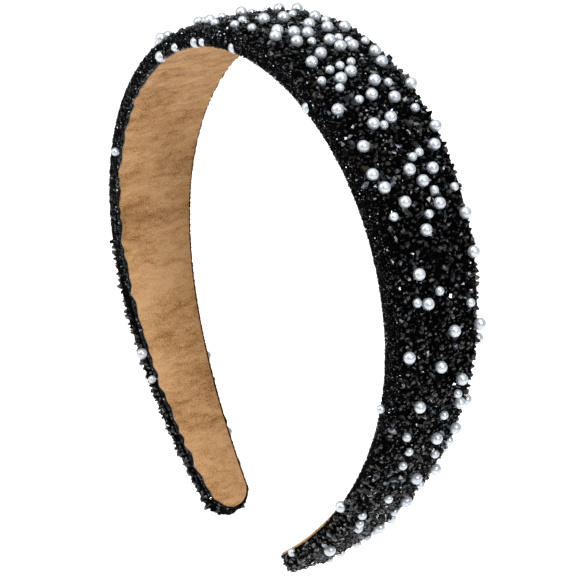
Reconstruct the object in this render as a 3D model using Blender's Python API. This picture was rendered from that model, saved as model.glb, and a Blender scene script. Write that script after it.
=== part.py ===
"""Rigid hoop headband with a crushed-crystal and pearl face, as separate layers on a spring core.

Metres, +Z up. The origin is the middle of the crown seat, the lining's inner face at the top.
The hoop stands in the XZ plane and its wearer faces -Y, so the wearer's left leg is at +X.
A place on the band is given by three numbers: how far along the hoop from the crown centre (+X
side positive), how far across it (-Y is the front edge), and how high above the lining's inner face.
The hoop is one springy piece that bends along its whole length. It is divided here at a flex line
on each side, so that each leg can swing open on one hinge.
"""

import math

import bmesh
import bpy
import numpy as np
from mathutils import Matrix, Vector

MM = 0.001

# The hoop, measured on the lining's inner face
HEAD_WIDTH = 125.0 * MM
HOOP_HEIGHT = 143.0 * MM
TIP_TURN = math.radians(141)
BEND_SHARES = (0.92, 1.03, 0.98, 0.50, 0.27)  # bend at even steps from the crown centre to a tip
CURVE_STEPS = 400

# The band's outline, laid flat
CROWN_WIDTH = 31.4 * MM
TIP_WIDTH = 12.6 * MM
TAPER_POWER = 1.7

# Layers, from the head outwards
CLEARANCE = 0.3 * MM  # the glue film between two layers
LINING_THICKNESS = 0.6 * MM
LINING_MARGIN = 0.4 * MM
CLOTH_THICKNESS = 0.3 * MM
CROWN_TURN_IN = 6.0 * MM
TIP_TURN_IN = 2.2 * MM
CORE_THICKNESS = 1.2 * MM
PADDING_EDGE = 0.3 * MM
CROWN_PADDING_RISE = 1.4 * MM
TIP_PADDING_RISE = 0.6 * MM
DOME_POWER = 2.5
BED_THICKNESS = 1.0 * MM
BED_SIDE = 0.9 * MM
BED_SHOULDER = 0.3 * MM

# Pearls: share of the half hoop along it, share of the half width across it, and the size.
# The other half of the hoop has the same ones, turned half round about the vertical.
LARGE_PEARL = 3.2 * MM
SMALL_PEARL = 2.4 * MM
CROWN_PEARLS = (
    (0.02, -0.60, LARGE_PEARL),
    (0.03, -0.05, LARGE_PEARL),
    (0.06, 0.50, SMALL_PEARL),
    (0.09, -0.55, LARGE_PEARL),
    (0.11, 0.70, LARGE_PEARL),
    (0.12, -0.05, LARGE_PEARL),
    (0.14, -0.45, SMALL_PEARL),
    (0.17, 0.40, LARGE_PEARL),
    (0.17, -0.75, LARGE_PEARL),
    (0.20, -0.30, LARGE_PEARL),
    (0.24, 0.70, LARGE_PEARL),
    (0.25, 0.15, SMALL_PEARL),
    (0.26, -0.75, LARGE_PEARL),
    (0.30, -0.35, LARGE_PEARL),
    (0.31, 0.35, LARGE_PEARL),
)
LEG_PEARLS = (
    (0.42, -0.30, LARGE_PEARL),
    (0.46, 0.30, LARGE_PEARL),
    (0.48, -0.75, LARGE_PEARL),
    (0.55, -0.40, LARGE_PEARL),
    (0.61, 0.35, LARGE_PEARL),
    (0.72, -0.20, SMALL_PEARL),
)
PEARL_DIVISIONS = 2
SEAT_SIDES = 12
SEAT_OVERRUN = 1.0 * MM

# The flex lines
FLEX_STATION = 72.0 * MM
OPENING_ANGLE = math.radians(20)
CLOSING_ANGLE = math.radians(4)
FLEX_TOUCH = 0.001 * MM  # a station this near a flex line is on it

# How finely the curves are divided
CROWN_FACETS = 21
LEG_FACETS = 15
TIP_FACET_ANGLES = (18, 36, 54, 72)
DOME_SHARES = (0.75, 0.4, 0, -0.4, -0.75)
CUTTER_OVERRUN = 2.0 * MM

# Heights above the lining's inner face, stacked from the values above
TURN_IN_BOTTOM = LINING_THICKNESS + CLEARANCE
TURN_IN_TOP = TURN_IN_BOTTOM + CLOTH_THICKNESS
CORE_BOTTOM = TURN_IN_TOP + CLEARANCE
CORE_TOP = CORE_BOTTOM + CORE_THICKNESS
PADDING_BOTTOM = CORE_TOP + CLEARANCE
PADDING_SHOULDER = PADDING_BOTTOM + PADDING_EDGE
CLOTH_INNER_SHOULDER = PADDING_SHOULDER + CLEARANCE
CLOTH_SHOULDER = CLOTH_INNER_SHOULDER + CLOTH_THICKNESS
BED_INNER_SHOULDER = CLOTH_SHOULDER + CLEARANCE
RIM_HEIGHT = BED_INNER_SHOULDER + BED_SHOULDER

# Insets of each layer's edge from the band's outline
CLOTH_INSET = BED_SIDE + CLEARANCE
HOOP_SPACE_INSET = CLOTH_INSET + CLOTH_THICKNESS
CORE_INSET = HOOP_SPACE_INSET + CLEARANCE

COLOURS = {
    "core": ((0.03, 0.03, 0.03), 0.4),
    "padding": ((0.08, 0.08, 0.085), 0.95),
    "base_cloth": ((0.015, 0.015, 0.017), 0.85),
    "crystal_bed": ((0.02, 0.02, 0.023), 0.15),
    "lining_tape": ((0.75, 0.72, 0.62), 0.5),
    "lining": ((0.62, 0.43, 0.28), 0.95),
    "pearl": ((0.9, 0.89, 0.88), 0.18),
}
SEGMENTS = ("crown", "left_leg", "right_leg")


def running_total(values):
    """The integral of evenly spaced values over a length of 1, by trapezoids."""
    steps = (values[1:] + values[:-1]) / 2 / (len(values) - 1)
    return np.concatenate([[0], np.cumsum(steps)])


def hoop_curve():
    """Lengths along the half hoop with x, z and the unit tangent there, from the crown centre to a tip."""
    knots = np.linspace(0, 1, len(BEND_SHARES))
    bend = np.interp(np.linspace(0, 1, CURVE_STEPS + 1), knots, BEND_SHARES)
    turn = running_total(bend)
    turn *= TIP_TURN / turn[-1]
    x = running_total(np.cos(turn))
    z = -running_total(np.sin(turn))
    across = HEAD_WIDTH / 2 / x.max()
    down = HOOP_HEIGHT / -z[-1]
    x *= across
    z *= down
    length = np.concatenate([[0], np.cumsum(np.hypot(np.diff(x), np.diff(z)))])
    tangent = np.stack([np.cos(turn) * across, -np.sin(turn) * down])
    tangent /= np.hypot(tangent[0], tangent[1])
    return length, x, z, tangent


LENGTH, CURVE_X, CURVE_Z, TANGENT = hoop_curve()
HALF_HOOP = float(LENGTH[-1])
# The middle facet is flat, so the hoop is set down until that facet passes through the origin
SEAT_DROP = float(np.interp(FLEX_STATION / CROWN_FACETS, LENGTH, CURVE_Z))


def directions(along):
    """The tangent, towards the tip at +X, and the outward normal at a station, as (x, z) pairs."""
    tangent = [float(np.interp(abs(along), LENGTH, part)) for part in TANGENT]
    size = math.hypot(*tangent)
    side = -1 if along < 0 else 1
    return (tangent[0] / size, side * tangent[1] / size), (-side * tangent[1] / size, tangent[0] / size)


def place(along, across, height):
    """The point at a station, this far across the band and this high above the lining's inner face."""
    x = float(np.interp(abs(along), LENGTH, CURVE_X))
    z = float(np.interp(abs(along), LENGTH, CURVE_Z)) - SEAT_DROP
    side = -1 if along < 0 else 1
    _, outward = directions(along)
    return Vector((side * x + outward[0] * height, across, z + outward[1] * height))


def tapered(along, crown, tip):
    """A size that stays near its crown value and falls to its tip value."""
    share = min(abs(along) / HALF_HOOP, 1)
    return tip + (crown - tip) * (1 - share**TAPER_POWER)


def half_width(along, crown_inset=0.0, tip_inset=None):
    """Half the width of the band at a station, less an inset all round, with a round end."""
    tip_inset = crown_inset if tip_inset is None else tip_inset
    half = tapered(along, CROWN_WIDTH / 2 - crown_inset, TIP_WIDTH / 2 - tip_inset)
    radius = TIP_WIDTH / 2 - tip_inset
    past = abs(along) - (HALF_HOOP - TIP_WIDTH / 2)
    if past > 0:
        half *= math.sqrt(max(1 - (past / radius) ** 2, 0))
    return half


def stations(segment, tip_inset=0.0):
    """Where a segment's outline has its cross-sections, in order along the hoop."""
    if segment == "crown":
        return list(np.linspace(-FLEX_STATION, FLEX_STATION, CROWN_FACETS + 1))
    round_start = HALF_HOOP - TIP_WIDTH / 2
    radius = TIP_WIDTH / 2 - tip_inset
    leg = list(np.linspace(FLEX_STATION, round_start, LEG_FACETS + 1))
    leg += [round_start + radius * math.sin(math.radians(angle)) for angle in TIP_FACET_ANGLES]
    return leg if segment == "left_leg" else [-along for along in reversed(leg)]


def overrun_stations(segment, tip_inset):
    """The stations of a cutter, which runs past the segment's ends at the flex lines."""
    inner = stations(segment, tip_inset)
    before = [inner[0] - CUTTER_OVERRUN] if segment != "right_leg" else []
    after = [inner[-1] + CUTTER_OVERRUN] if segment != "left_leg" else []
    return before + inner + after


def hinge_height():
    """The hinges lie in the middle of the core's thickness, where a bent strip keeps its length."""
    return CORE_BOTTOM + CORE_THICKNESS / 2


def flex_gap_half(height):
    """Half a flex line's gap, with room for the leg to open, above the hinge, and to close, below it."""
    above = max(height - hinge_height(), 0) * math.tan(OPENING_ANGLE)
    below = max(hinge_height() - height, 0) * math.tan(CLOSING_ANGLE)
    return (CLEARANCE + above + below) / 2


def section_point(segment, along, across, height):
    """The point of a cross-section, drawn back from the flex line where the segment ends at one."""
    point = place(along, across, height)
    if abs(abs(along) - FLEX_STATION) > FLEX_TOUCH:
        return point
    tangent = directions(along)[0]
    towards_tip = 1 if along > 0 else -1
    way = -towards_tip if segment == "crown" else towards_tip
    return point + Vector((tangent[0], 0, tangent[1])) * way * flex_gap_half(height)


def dome(share, shoulder, centre):
    """The height of a domed face, this share of the half width from its middle."""
    return shoulder + (centre - shoulder) * (1 - abs(share) ** DOME_POWER)


def side_heights(bottom, top):
    """The heights of the corners on a cross-section's straight side: one is at the hinge's height."""
    corner = hinge_height()
    return [bottom, corner, top] if bottom < corner < top else [bottom, top]


def flat_section(half, bottom, top):
    """The outline of a flat strip's cross-section."""
    heights = side_heights(bottom, top)
    return [(half, height) for height in heights] + [(-half, height) for height in reversed(heights)]


def domed_section(half, bottom, shoulder, centre):
    """The outline of a strip's cross-section with a flat bottom and a domed top."""
    heights = side_heights(bottom, shoulder)
    top = [(half * share, dome(share, shoulder, centre)) for share in DOME_SHARES]
    right = [(half, height) for height in heights]
    left = [(-half, height) for height in reversed(heights)]
    return right + top + left


def padding_rise(along):
    return tapered(along, CROWN_PADDING_RISE, TIP_PADDING_RISE)


def bed_centre(along):
    """The height of the crystal bed's outer face along the middle of the band."""
    return BED_INNER_SHOULDER + padding_rise(along) + BED_THICKNESS


def lining_section(along):
    return flat_section(half_width(along, LINING_MARGIN), 0, LINING_THICKNESS)


def core_section(along):
    return flat_section(half_width(along, CORE_INSET), CORE_BOTTOM, CORE_TOP)


def padding_section(along):
    centre = PADDING_SHOULDER + padding_rise(along)
    return domed_section(half_width(along, CORE_INSET), PADDING_BOTTOM, PADDING_SHOULDER, centre)


def cloth_section(along):
    centre = CLOTH_SHOULDER + padding_rise(along)
    return domed_section(half_width(along, CLOTH_INSET), TURN_IN_BOTTOM, CLOTH_SHOULDER, centre)


def hoop_space_section(along):
    """Inside the base cloth: the room for the core and the padding."""
    centre = CLOTH_INNER_SHOULDER + padding_rise(along)
    return domed_section(half_width(along, HOOP_SPACE_INSET), TURN_IN_TOP, CLOTH_INNER_SHOULDER, centre)


def between_hems(along, clearance):
    """Half the width between the base cloth's turned-in hems, less a clearance."""
    inset = HOOP_SPACE_INSET + clearance
    return half_width(along, inset + CROWN_TURN_IN, inset + TIP_TURN_IN)


def hem_slot_section(along):
    return flat_section(between_hems(along, 0), TURN_IN_BOTTOM - CLEARANCE, TURN_IN_TOP + CLEARANCE)


def tape_section(along):
    return flat_section(between_hems(along, CLEARANCE), TURN_IN_BOTTOM, TURN_IN_TOP)


def bed_section(along):
    return domed_section(half_width(along), TURN_IN_BOTTOM, RIM_HEIGHT, bed_centre(along))


def bed_hollow_section(along):
    """Under the crystal bed: the room for the base cloth, open towards the lining."""
    centre = BED_INNER_SHOULDER + padding_rise(along)
    inset = CLOTH_INSET - CLEARANCE
    return domed_section(half_width(along, inset), TURN_IN_BOTTOM - CLEARANCE, BED_INNER_SHOULDER, centre)


def new_object(name, mesh):
    obj = bpy.data.objects.new(name, mesh)
    bpy.context.scene.collection.objects.link(obj)
    return obj


def mesh_from(name, bm):
    mesh = bpy.data.meshes.new(name)
    bmesh.ops.recalc_face_normals(bm, faces=bm.faces)
    bm.to_mesh(mesh)
    bm.free()
    return mesh


def loft(name, rings):
    """A closed strip through these rings of points."""
    bm = bmesh.new()
    rings = [[bm.verts.new(point) for point in ring] for ring in rings]
    for ring, following in zip(rings, rings[1:]):
        for i in range(len(ring)):
            j = (i + 1) % len(ring)
            bm.faces.new((ring[i], ring[j], following[j], following[i]))
    bm.faces.new(reversed(rings[0]))
    bm.faces.new(rings[-1])
    bmesh.ops.triangulate(bm, faces=bm.faces)
    return new_object(name, mesh_from(name, bm))


def as_cutter(obj):
    obj.hide_render = True
    obj.display_type = "WIRE"
    return obj


def cut(obj, cutter):
    modifier = obj.modifiers.new(cutter.name, "BOOLEAN")
    modifier.operation = "DIFFERENCE"
    modifier.solver = "EXACT"
    modifier.object = cutter


def material(piece):
    colour, roughness = COLOURS[piece]
    made = bpy.data.materials.get(piece) or bpy.data.materials.new(piece)
    made.use_nodes = True
    shader = made.node_tree.nodes["Principled BSDF"]
    shader.inputs["Base Color"].default_value = (*colour, 1)
    shader.inputs["Roughness"].default_value = roughness
    return made


def cloth_top(along, across):
    """The height of the base cloth's outer face."""
    share = across / half_width(along, CLOTH_INSET)
    return dome(share, CLOTH_SHOULDER, CLOTH_SHOULDER + padding_rise(along))


def pearl_places():
    """(segment, name, centre, outward normal, diameter) of every pearl, each resting on the base cloth."""
    found = []
    for side, name in ((1, "left"), (-1, "right")):
        for number, (share, across_share, size) in enumerate(CROWN_PEARLS + LEG_PEARLS, 1):
            along = side * share * HALF_HOOP
            across = side * across_share * half_width(along)
            outward = directions(along)[1]
            centre = place(along, across, cloth_top(along, across) + CLEARANCE + size / 2)
            segment = "crown" if number <= len(CROWN_PEARLS) else name + "_leg"
            found.append((segment, f"pearl_{name}_{number:02d}", centre, outward, size))
    return found


def pearl_seats(places):
    """One cutter for all the pearls' seats: a round hole each, through the crystal bed."""
    bm = bmesh.new()
    for _, _, centre, outward, size in places:
        upright = Vector((outward[0], 0, outward[1])).to_track_quat("Z", "Y").to_matrix().to_4x4()
        radius = size / 2 + CLEARANCE
        bmesh.ops.create_cone(
            bm,
            cap_ends=True,
            segments=SEAT_SIDES,
            radius1=radius,
            radius2=radius,
            depth=size + 2 * SEAT_OVERRUN,
            matrix=Matrix.Translation(centre) @ upright,
        )
    return as_cutter(new_object("pearl_seats", mesh_from("pearl_seats", bm)))


def pearl_mesh(size):
    name = f"pearl_{size / MM:.1f}"
    if name not in bpy.data.meshes:
        bm = bmesh.new()
        bmesh.ops.create_icosphere(bm, subdivisions=PEARL_DIVISIONS, radius=size / 2)
        mesh = mesh_from(name, bm)
        mesh.shade_smooth()
        mesh.materials.append(material("pearl"))
    return bpy.data.meshes[name]


def build_strip(piece, segment, section, inset):
    """One layer's piece in one segment. The inset is from the band's outline."""
    rings = [
        [section_point(segment, along, across, height) for across, height in section(along)]
        for along in stations(segment, inset)
    ]
    strip = loft(f"{piece}_{segment}", rings)
    strip.data.materials.append(material(piece))
    return strip


def hollow_out(strip, name, segment, section, inset):
    """Takes a hollow out of a strip, open at the flex lines."""
    rings = [
        [place(along, across, height) for across, height in section(along)]
        for along in overrun_stations(segment, inset)
    ]
    cut(strip, as_cutter(loft(f"{name}_{segment}", rings)))


def build_segment(segment, seats):
    """The six layers of one segment, from the head outwards."""
    hem_inset = HOOP_SPACE_INSET + TIP_TURN_IN
    cloth = build_strip("base_cloth", segment, cloth_section, CLOTH_INSET)
    hollow_out(cloth, "hoop_space", segment, hoop_space_section, HOOP_SPACE_INSET)
    hollow_out(cloth, "hem_slot", segment, hem_slot_section, hem_inset)
    bed = build_strip("crystal_bed", segment, bed_section, 0)
    hollow_out(bed, "bed_hollow", segment, bed_hollow_section, CLOTH_INSET - CLEARANCE)
    cut(bed, seats)
    return [
        build_strip("lining", segment, lining_section, LINING_MARGIN),
        build_strip("lining_tape", segment, tape_section, hem_inset + CLEARANCE),
        build_strip("core", segment, core_section, CORE_INSET),
        build_strip("padding", segment, padding_section, CORE_INSET),
        cloth,
        bed,
    ]


def flex_hinge(segment):
    """An empty on the axis that a leg swings about."""
    side = 1 if segment == "left_leg" else -1
    hinge = new_object(segment + "_flex", None)
    hinge.location = place(side * FLEX_STATION, 0, hinge_height())
    return hinge


def hang(obj, hinge):
    """Makes the hinge the piece's parent and leaves the piece where it is."""
    obj.parent = hinge
    obj.matrix_parent_inverse = Matrix.Translation(-hinge.location)


def main():
    for obj in list(bpy.data.objects):
        bpy.data.objects.remove(obj)
    places = pearl_places()
    seats = pearl_seats(places)
    hinges = {segment: flex_hinge(segment) for segment in SEGMENTS[1:]}
    pieces = {segment: build_segment(segment, seats) for segment in SEGMENTS}
    for segment, name, centre, _, size in places:
        pearl = new_object(name, pearl_mesh(size))
        pearl.location = centre
        pieces[segment].append(pearl)
    for segment, hinge in hinges.items():
        for piece in pieces[segment]:
            hang(piece, hinge)


main()
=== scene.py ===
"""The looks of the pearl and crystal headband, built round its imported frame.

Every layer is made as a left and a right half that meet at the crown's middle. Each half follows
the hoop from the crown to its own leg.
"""

from __future__ import annotations

import logging
import math
from dataclasses import dataclass, field
from enum import Enum

import bmesh
import bpy
import numpy as np
from mathutils import Matrix, Vector

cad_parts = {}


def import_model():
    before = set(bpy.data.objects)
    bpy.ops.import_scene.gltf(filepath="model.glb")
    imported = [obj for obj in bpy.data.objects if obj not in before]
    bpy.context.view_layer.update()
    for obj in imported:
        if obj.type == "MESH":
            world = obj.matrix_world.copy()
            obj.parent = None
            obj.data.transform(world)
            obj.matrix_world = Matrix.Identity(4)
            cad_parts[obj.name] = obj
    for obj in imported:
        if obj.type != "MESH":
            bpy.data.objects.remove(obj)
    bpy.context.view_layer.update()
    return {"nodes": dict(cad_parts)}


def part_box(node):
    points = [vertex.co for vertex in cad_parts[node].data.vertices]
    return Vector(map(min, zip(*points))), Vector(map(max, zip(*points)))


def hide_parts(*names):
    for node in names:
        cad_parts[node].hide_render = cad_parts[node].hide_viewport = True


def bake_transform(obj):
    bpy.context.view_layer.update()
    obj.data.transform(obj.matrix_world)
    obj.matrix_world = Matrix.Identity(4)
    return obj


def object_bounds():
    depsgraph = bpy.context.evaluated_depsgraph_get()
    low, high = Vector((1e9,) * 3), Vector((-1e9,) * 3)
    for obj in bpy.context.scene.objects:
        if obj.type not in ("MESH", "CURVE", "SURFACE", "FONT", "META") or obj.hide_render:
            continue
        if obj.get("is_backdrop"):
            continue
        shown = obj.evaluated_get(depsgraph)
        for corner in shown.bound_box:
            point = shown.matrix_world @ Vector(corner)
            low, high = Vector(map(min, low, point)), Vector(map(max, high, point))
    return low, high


log = logging.getLogger("headband")

MM = 0.001
FLAT = "laid_flat"  # the attribute that holds each point's place on the band when it is unrolled

Array = np.ndarray
Colour = tuple[float, float, float]
Pair = tuple[float, float]  # two values that belong together, such as the ends of a range
Draws = np.random.Generator
Piece = bpy.types.Object
Node = bpy.types.Node
Socket = bpy.types.NodeSocket


class Side(Enum):
    """A half of the band, named from the wearer's left and right."""

    LEFT = 1
    RIGHT = -1

    @property
    def word(self) -> str:
        """The name that pieces of this half end with."""
        return self.name.lower()

    @property
    def leg(self) -> str:
        """The CAD body of this half's leg."""
        return f"{self.word}_leg"


class Finish(Enum):
    """The glass finishes of the crushed crystal, in the order of a chip mesh's material slots."""

    JET = 0
    INK = 1
    SMOKE = 2
    OLIVE = 3
    STEEL = 4
    GLINT = 5


# ---- The hoop and its sections ----


def running_total(values: Array) -> Array:
    """Adds up evenly spaced values over a length of 1.

    Args:
        values: The values at evenly spaced places.

    Returns:
        The integral from the first place to each place, by trapezoids.
    """
    steps = (values[1:] + values[:-1]) / 2 / (len(values) - 1)
    return np.concatenate([[0], np.cumsum(steps)])


@dataclass
class Hoop:
    """The curve that the band follows, its outline when flat, and the rise of its dome."""

    head_half: float
    head_height: float
    crown_half: float
    lining_thickness: float
    tip_half: float = 6.3 * MM
    tip_turn: float = math.radians(141)
    bend_shares: tuple[float, ...] = (0.92, 1.03, 0.98, 0.50, 0.27)
    steps: int = 400
    taper_power: float = 1.7
    dome_power: float = 2.5
    crown_rise: float = 1.4 * MM
    tip_rise: float = 0.6 * MM
    half_facet: float = 72 / 21 * MM  # half the length of the frame's flat middle facet
    lining_margin: float = 0.4 * MM
    length: float = field(init=False)
    curve: dict[str, Array] = field(init=False)

    @classmethod
    def from_frame(cls) -> Hoop:
        """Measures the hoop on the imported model.

        Returns:
            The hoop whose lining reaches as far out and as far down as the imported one.
        """
        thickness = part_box("lining_crown")[1].z
        widest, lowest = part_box("lining_left_leg")[1].x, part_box("lining_left_leg")[0].z
        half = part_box("crystal_bed_crown")[1].y
        hoop = cls(widest - thickness, -lowest, half, thickness)
        end = hoop.place(Side.LEFT, hoop.length - hoop.lining_margin, 0, thickness)[0, 2]
        return cls(widest - thickness, -lowest * lowest / end, half, thickness)

    def __post_init__(self) -> None:
        """Works out the curve."""
        knots = np.linspace(0, 1, len(self.bend_shares))
        bend = np.interp(np.linspace(0, 1, self.steps + 1), knots, self.bend_shares)
        turn = running_total(bend)
        turn *= self.tip_turn / turn[-1]
        x, z = running_total(np.cos(turn)), -running_total(np.sin(turn))
        across, down = self.head_half / x.max(), self.head_height / -z[-1]
        x, z = x * across, z * down
        run = np.concatenate([[0], np.cumsum(np.hypot(np.diff(x), np.diff(z)))])
        tangent = np.array([np.cos(turn) * across, -np.sin(turn) * down])
        tangent /= np.hypot(*tangent)
        self.length = float(run[-1])
        z -= np.interp(self.half_facet, run, z)
        self.curve = {"run": run, "x": x, "z": z, "tx": tangent[0], "tz": tangent[1]}

    def read(self, key: str, run: Array) -> Array:
        """One of the curve's values at a length along the half hoop."""
        return np.interp(run, self.curve["run"], self.curve[key])

    def place(self, side: Side, run: Array, across: Array, height: Array) -> Array:
        """Turns places on the unrolled band into points of the row frame.

        Args:
            side: The half of the band.
            run: Lengths from the crown's middle.
            across: Distances from the middle line, towards the back where positive.
            height: Heights over the lining's inner face.

        Returns:
            The points, one row each.
        """
        run, across, height = np.broadcast_arrays(*np.atleast_1d(run, across, height))
        tx, tz = self.read("tx", run), self.read("tz", run)
        x = side.value * (self.read("x", run) - tz * height)
        return np.stack([x, across, self.read("z", run) + tx * height], axis=-1)

    def axes(self, side: Side, run: Array) -> tuple[Array, Array, Array]:
        """The directions along, across and outwards at lengths along the half hoop."""
        tx, tz = self.read("tx", run), self.read("tz", run)
        nothing = np.zeros_like(tx)
        along = np.stack([side.value * tx, nothing, tz], axis=-1)
        outwards = np.stack([-side.value * tz, nothing, tx], axis=-1)
        return along, np.stack([nothing, nothing + 1, nothing], axis=-1), outwards

    def tapered(self, run: Array, crown: float, tip: float) -> Array:
        """A size that goes from the crown's value to the tip's."""
        return tip + (crown - tip) * (1 - (run / self.length) ** self.taper_power)

    def outline(self, run: Array, inset: float = 0.0) -> Array:
        """Half the band's width, less an inset that also shortens the round end.

        Args:
            run: Lengths from the crown's middle.
            inset: How far inside the outline.

        Returns:
            The half widths, 0 past the end.
        """
        run = np.asarray(run, float)
        radius = self.tip_half - inset
        past = np.clip((run - (self.length - self.tip_half)) / radius, 0, 1)
        return (self.tapered(run, self.crown_half, self.tip_half) - inset) * np.sqrt(1 - past**2)


@dataclass
class Skin:
    """An outer surface of one layer: a domed top, rounded shoulders and straight side walls."""

    hoop: Hoop
    inset: float
    shoulder: float
    swell: float
    foot: float
    corner: float = 0.9 * MM
    least_half: float = 0.02 * MM

    def parts(self, run: Array) -> tuple[Array, Array, Array, Array]:
        """The half width, flat half width, corner radius and centre height at lengths along the hoop."""
        half = np.maximum(self.hoop.outline(run, self.inset), self.least_half)
        corner = np.minimum(self.corner, half * 0.98)
        rise = self.hoop.tapered(run, self.hoop.crown_rise, self.hoop.tip_rise) + self.swell
        return half, half - corner, corner, self.shoulder + rise

    def reach(self, run: Array) -> Array:
        """The length of the section from its middle to the foot of a side wall."""
        _, flat, corner, _ = self.parts(run)
        return flat + corner * math.pi / 2 + (self.shoulder - corner - self.foot)

    def section(self, run: Array, arc: Array) -> tuple[Array, Array, Array, Array]:
        """Follows the section from its middle towards a side.

        Args:
            run: Lengths from the crown's middle.
            arc: Lengths along the section, negative towards the front.

        Returns:
            The distance across, the height, and the normal's part across and outwards.
        """
        half, flat, corner, centre = self.parts(run)
        travelled, sign = np.abs(arc), np.where(arc < 0, -1.0, 1.0)
        share = np.minimum(travelled, flat) / half
        rise, power = centre - self.shoulder, self.hoop.dome_power
        top = self.shoulder + rise * (1 - share**power)
        slope = rise * power * share ** (power - 1) / half
        bend = np.clip((travelled - flat) / (corner * math.pi / 2), 0, 1) * math.pi / 2
        drop = np.maximum(travelled - flat - corner * math.pi / 2, 0)
        base = self.shoulder - corner
        rounded = travelled > flat
        across = np.where(rounded, flat + corner * np.sin(bend), travelled)
        height = np.where(rounded, base + (top - base) * np.cos(bend) - drop, top)
        lean = np.where(rounded, np.maximum(bend, np.arctan(slope)), np.arctan(slope))
        return sign * across, height, sign * np.sin(lean), np.cos(lean)

    def seats(self, side: Side, run: Array, arc: Array) -> tuple[Array, Array, Array]:
        """Points on the surface, with the direction along the band and the normal there."""
        across, height, n_across, n_out = self.section(run, arc)
        along, sideways, outwards = self.hoop.axes(side, run)
        normal = sideways * n_across[:, None] + outwards * n_out[:, None]
        return self.hoop.place(side, run, across, height), along, normal


def ripple(rng: Draws, run: Array, across: Array, wavelengths: Pair, lean: float, count: int) -> Array:
    """A smooth seeded wave pattern on the unrolled band.

    Args:
        rng: The random draws.
        run: Lengths along the band, negative on the right half.
        across: Distances across it.
        wavelengths: The shortest and the longest wave.
        lean: How much the waves' crests spread from the direction across, from 0 to 1.
        count: The number of waves.

    Returns:
        Values mostly between -1 and 1.
    """
    total = np.zeros(np.broadcast(run, across).shape)
    for _ in range(count):
        number = 2 * math.pi / rng.uniform(*wavelengths)
        angle = rng.uniform(-1, 1) * lean * math.pi / 2
        travelled = math.cos(angle) * run + math.sin(angle) * across
        total += np.sin(number * travelled + rng.uniform(0, 2 * math.pi))
    return total / math.sqrt(count)


# ---- Meshes ----


def new_piece(name: str, points: Array, faces: list, flat: Array | None = None, smooth: bool = True) -> Piece:
    """Makes a mesh object in the scene.

    Args:
        name: The object's name.
        points: The vertices, one row each.
        faces: The corners of each face.
        flat: Each vertex's place on the unrolled band, for the patterns of its materials.
        smooth: Whether it is shaded smooth.

    Returns:
        The object.
    """
    mesh = bpy.data.meshes.new(name)
    mesh.from_pydata(np.asarray(points).tolist(), [], [list(map(int, face)) for face in faces])
    if flat is not None:
        attribute = mesh.attributes.new(FLAT, "FLOAT_VECTOR", "POINT")
        attribute.data.foreach_set("vector", np.ascontiguousarray(flat, np.float32).ravel())
    mesh.update()
    if smooth:
        mesh.shade_smooth()
    else:
        mesh.shade_flat()
    piece = bpy.data.objects.new(name, mesh)
    bpy.context.scene.collection.objects.link(piece)
    return piece


def settle(piece: Piece) -> None:
    """Applies a piece's modifiers."""
    graph = bpy.context.evaluated_depsgraph_get()
    shaped = piece.evaluated_get(graph)
    made = bpy.data.meshes.new_from_object(shaped, preserve_all_data_layers=True, depsgraph=graph)
    piece.modifiers.clear()
    piece.data = made


def grid_faces(rows: int, columns: int, ring: bool = False) -> list[tuple[int, int, int, int]]:
    """The quads of a grid of points, whose columns close into rings if asked."""
    faces = []
    for row in range(rows - 1):
        for column in range(columns if ring else columns - 1):
            here = row * columns + column
            beside = row * columns + (column + 1) % columns
            faces.append((here, beside, beside + columns, here + columns))
    return faces


def unit_ball(divisions: int) -> tuple[Array, Array]:
    """The points and triangles of a ball of radius 1."""
    ball = bmesh.new()
    bmesh.ops.create_icosphere(ball, subdivisions=divisions, radius=1.0)
    points = np.array([vertex.co for vertex in ball.verts])
    faces = np.array([[vertex.index for vertex in face.verts] for face in ball.faces])
    ball.free()
    return points, faces


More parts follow.
